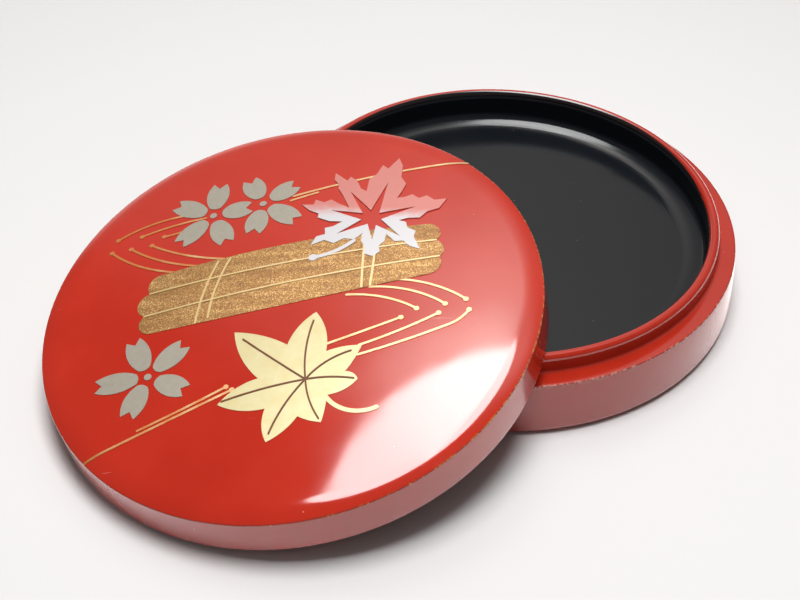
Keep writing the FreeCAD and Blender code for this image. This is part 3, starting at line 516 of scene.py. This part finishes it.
# ---- Wooden cores ----
# Turned wood under the lacquer, such as horse chestnut or zelkova: pale brown with fine growth lines. It is
# seen only where a coat would be missing, and keeps the CAD solids.
WOOD_PALE, WOOD_DARK = "#B98D5F", "#8B6038"


def give(node_name, paint):
    """Puts one material in place of all that a CAD node came with."""
    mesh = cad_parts[node_name].data
    mesh.materials.clear()
    mesh.materials.append(paint)


for node_name, pose in (("base_core", None), ("lid_core", POSE)):
    paint, tree, output = new_material("turned_chestnut_" + node_name)
    place = lacquer_place(tree, pose)
    drawn = add(tree, "ShaderNodeMapping", {0: place, 3: (0.12, 1.4, 1.4)})
    lines = add(tree, "ShaderNodeTexWave",
                {"Vector": drawn.outputs[0], "Scale": 0.5, "Distortion": 4.0, "Detail": 3.0})
    fibre = add(tree, "ShaderNodeTexNoise", {"Vector": drawn.outputs[0], "Scale": 3.0, "Detail": 5.0})
    both = add(tree, "ShaderNodeMath", {0: lines.outputs["Fac"], 1: fibre.outputs["Fac"]},
               operation="MULTIPLY")
    wood = add(tree, "ShaderNodeMix", {0: both.outputs[0], 6: linear(WOOD_PALE), 7: linear(WOOD_DARK)},
               data_type="RGBA")
    bump = add(tree, "ShaderNodeBump", {"Strength": 0.5, "Distance": 0.00005, "Height": fibre.outputs["Fac"]})
    shader = add(tree, "ShaderNodeBsdfPrincipled",
                 {"Base Color": wood.outputs[2], "Roughness": 0.6, "Normal": bump.outputs[0]})
    tree.links.new(shader.outputs[0], output.inputs["Surface"])
    give(node_name, paint)

# ---- Raft logs ----
# Coarse gold powder sprinkled on wet lacquer and sealed with a thin clear coat: bright grains of about
# 0.15 mm and darker red-brown gaps, denser on some streaks along the log than on others.
GOLD_DEEP, GOLD_MID, GOLD_BRIGHT = "#643C1A", "#8C642F", "#C6A672"
GRAINS, STREAKS, STREAK_TURN = 8.0, (0.1, 0.8, 1.0), -0.18       # in a millimetre, and radians
paint, tree, output = new_material("sprinkled_gold_powder")
place = lacquer_place(tree, POSE)
grains = add(tree, "ShaderNodeTexVoronoi", {"Vector": place, "Scale": GRAINS, "Randomness": 1.0})
tone = add(tree, "ShaderNodeSeparateXYZ", {0: grains.outputs["Color"]})
along = add(tree, "ShaderNodeMapping", {0: place, 2: (0, 0, STREAK_TURN), 3: STREAKS})
streaks = add(tree, "ShaderNodeTexNoise", {"Vector": along.outputs[0], "Scale": 1.0, "Detail": 3.0})
dense = add(tree, "ShaderNodeMapRange", {0: streaks.outputs["Fac"], 1: 0.3, 2: 0.7, 3: -0.16, 4: 0.18})
mixed = add(tree, "ShaderNodeMath", {0: tone.outputs["X"], 1: dense.outputs[0]}, operation="ADD")
low = add(tree, "ShaderNodeMapRange", {0: mixed.outputs[0], 1: 0.05, 2: 0.5})
high = add(tree, "ShaderNodeMapRange", {0: mixed.outputs[0], 1: 0.7, 2: 1.1})
gold = add(tree, "ShaderNodeMix", {0: low.outputs[0], 6: linear(GOLD_DEEP), 7: linear(GOLD_MID)},
           data_type="RGBA")
gold = add(tree, "ShaderNodeMix", {0: high.outputs[0], 6: gold.outputs[2], 7: linear(GOLD_BRIGHT)},
           data_type="RGBA")
metal = add(tree, "ShaderNodeMapRange", {0: low.outputs[0], 3: 0.2, 4: 0.55})
bump = add(tree, "ShaderNodeBump",
           {"Strength": 0.6, "Distance": 0.00004, "Height": grains.outputs["Distance"]})
shader = add(tree, "ShaderNodeBsdfPrincipled",
             {"Base Color": gold.outputs[2], "Metallic": metal.outputs[0], "Roughness": 0.42,
              "Normal": bump.outputs[0]})
tree.links.new(shader.outputs[0], output.inputs["Surface"])
give("raft_logs", paint)

# ---- Gold lines ----
# Lines drawn with a fine brush in lacquer and dusted with the finest gold: the logs' seams and lashings,
# and the stream, which is redder where its powder has worn thin over the vermilion. All the lines are also
# redder towards the left of the lid and paler towards the right.
LINE_GOLD, LINE_THIN, LINE_PALE = "#C2A87C", "#B5703A", "#BBA36C"
LINE_POWDER, POWDER, POWDER_DEPTH = 8.0, 9.0, 0.00002   # grains in a millimetre, and metres


def dust_on(tree, output, place, colour, metal, roughness, grains=POWDER, relief=0.3):
    """Finishes a motif as fine metal powder held in lacquer: a grainy relief, and only partly metallic."""
    powder = add(tree, "ShaderNodeTexNoise", {"Vector": place, "Scale": grains, "Detail": 2.0})
    bump = add(tree, "ShaderNodeBump",
               {"Strength": relief, "Distance": POWDER_DEPTH, "Height": powder.outputs["Fac"]})
    shader = add(tree, "ShaderNodeBsdfPrincipled",
                 {"Base Color": colour.outputs[2], "Metallic": metal, "Roughness": roughness,
                  "Normal": bump.outputs[0]})
    tree.links.new(shader.outputs[0], output.inputs["Surface"])


for finish, gold_thin, nodes in (
    ("brushed_gold_line", LINE_THIN, ("upper_stream", "left_stream", "right_stream", "lower_stream")),
    ("brushed_pale_gold_line", LINE_PALE, ("raft_seams", "raft_lashings")),
):
    paint, tree, output = new_material(finish)
    place = lacquer_place(tree, POSE)
    thinned = add(tree, "ShaderNodeTexNoise", {"Vector": place, "Scale": 0.35, "Detail": 4.0})
    across = add(tree, "ShaderNodeSeparateXYZ", {0: place})
    # a steady gradient along the lid's own x: redder towards the left, paler towards the right
    paler = add(tree, "ShaderNodeMapRange", {0: across.outputs["X"], 1: -30.0, 2: 20.0, 3: 0.35, 4: -0.2})
    worn = add(tree, "ShaderNodeMath", {0: thinned.outputs["Fac"], 1: paler.outputs[0]}, operation="ADD")
    share = add(tree, "ShaderNodeMapRange", {0: worn.outputs[0], 1: 0.35, 2: 0.8})
    gold = add(tree, "ShaderNodeMix", {0: share.outputs[0], 6: linear(LINE_GOLD), 7: linear(gold_thin)},
               data_type="RGBA")
    dust_on(tree, output, place, gold, metal=0.45, roughness=0.4, grains=LINE_POWDER, relief=0.4)
    for node_name in nodes:
        give(node_name, paint)

# ---- Silver blossoms ----
# Fine silver powder, tarnished to a warm dull grey and rubbed smooth, a little mottled.
SILVER_GREY, SILVER_DULL = "#8B8679", "#857F73"
paint, tree, output = new_material("tarnished_silver_powder")
place = lacquer_place(tree, POSE)
mottle = add(tree, "ShaderNodeTexNoise", {"Vector": place, "Scale": 1.1, "Detail": 5.0, "Roughness": 0.7})
share = add(tree, "ShaderNodeMapRange", {0: mottle.outputs["Fac"], 1: 0.35, 2: 0.65})
silver = add(tree, "ShaderNodeMix", {0: share.outputs[0], 6: linear(SILVER_GREY), 7: linear(SILVER_DULL)},
             data_type="RGBA")
dust_on(tree, output, place, silver, metal=0.2, roughness=0.5)
for node_name in ("left_blossom", "right_blossom", "lower_blossom"):
    give(node_name, paint)

# ---- Silver maple leaf ----
# Bright silver powder laid thick below and sprinkled ever thinner towards the top, where the vermilion
# shows through and turns it pink.
SILVER_WHITE, SILVER_PINK = "#B0AEB0", "#AE6A62"
PINK_START, PINK_END, PINK_SLOPE = 18.4, 21.6, 0.12     # millimetres up the lid, and how the border slopes
paint, tree, output = new_material("graded_bright_silver")
place = lacquer_place(tree, POSE)
spot = add(tree, "ShaderNodeSeparateXYZ", {0: place})
tilted = add(tree, "ShaderNodeMath", {0: spot.outputs["X"], 1: PINK_SLOPE, 2: spot.outputs["Y"]},
             operation="MULTIPLY_ADD")
ragged = add(tree, "ShaderNodeTexNoise", {"Vector": place, "Scale": 0.6, "Detail": 4.0})
uneven = add(tree, "ShaderNodeMath", {0: ragged.outputs["Fac"], 1: 2.0, 2: tilted.outputs[0]},
             operation="MULTIPLY_ADD")
grade = add(tree, "ShaderNodeMapRange", {0: uneven.outputs[0], 1: PINK_START, 2: PINK_END},
            interpolation_type="SMOOTHSTEP")
silver = add(tree, "ShaderNodeMix", {0: grade.outputs[0], 6: linear(SILVER_WHITE), 7: linear(SILVER_PINK)},
             data_type="RGBA")
dust_on(tree, output, place, silver, metal=0.2, roughness=0.4)
give("silver_leaf", paint)

# ---- Gold maple leaf and its veins ----
# The palest gold powder, laid thick and burnished, with veins scratched in and filled with brown lacquer.
LEAF_PALE, LEAF_WARM = "#B8AF86", "#B2A472"
VEIN, VEIN_PALE = "#55280A", "#6A3A10"
paint, tree, output = new_material("burnished_pale_gold")
place = lacquer_place(tree, POSE)
mottle = add(tree, "ShaderNodeTexNoise", {"Vector": place, "Scale": 0.5, "Detail": 5.0, "Roughness": 0.6})
share = add(tree, "ShaderNodeMapRange", {0: mottle.outputs["Fac"], 1: 0.3, 2: 0.8})
gold = add(tree, "ShaderNodeMix", {0: share.outputs[0], 6: linear(LEAF_PALE), 7: linear(LEAF_WARM)},
           data_type="RGBA")
dust_on(tree, output, place, gold, metal=0.2, roughness=0.38)
give("gold_leaf", paint)

paint, tree, output = new_material("brown_lacquer_vein")
place = lacquer_place(tree, POSE)
mottle = add(tree, "ShaderNodeTexNoise", {"Vector": place, "Scale": 0.8, "Detail": 3.0})
brown = add(tree, "ShaderNodeMix", {0: mottle.outputs["Fac"], 6: linear(VEIN), 7: linear(VEIN_PALE)},
            data_type="RGBA")
shader = add(tree, "ShaderNodeBsdfPrincipled",
             {"Base Color": brown.outputs[2], "Roughness": 0.45, "IOR": 1.35})
tree.links.new(shader.outputs[0], output.inputs["Surface"])
give("gold_leaf_veins", paint)
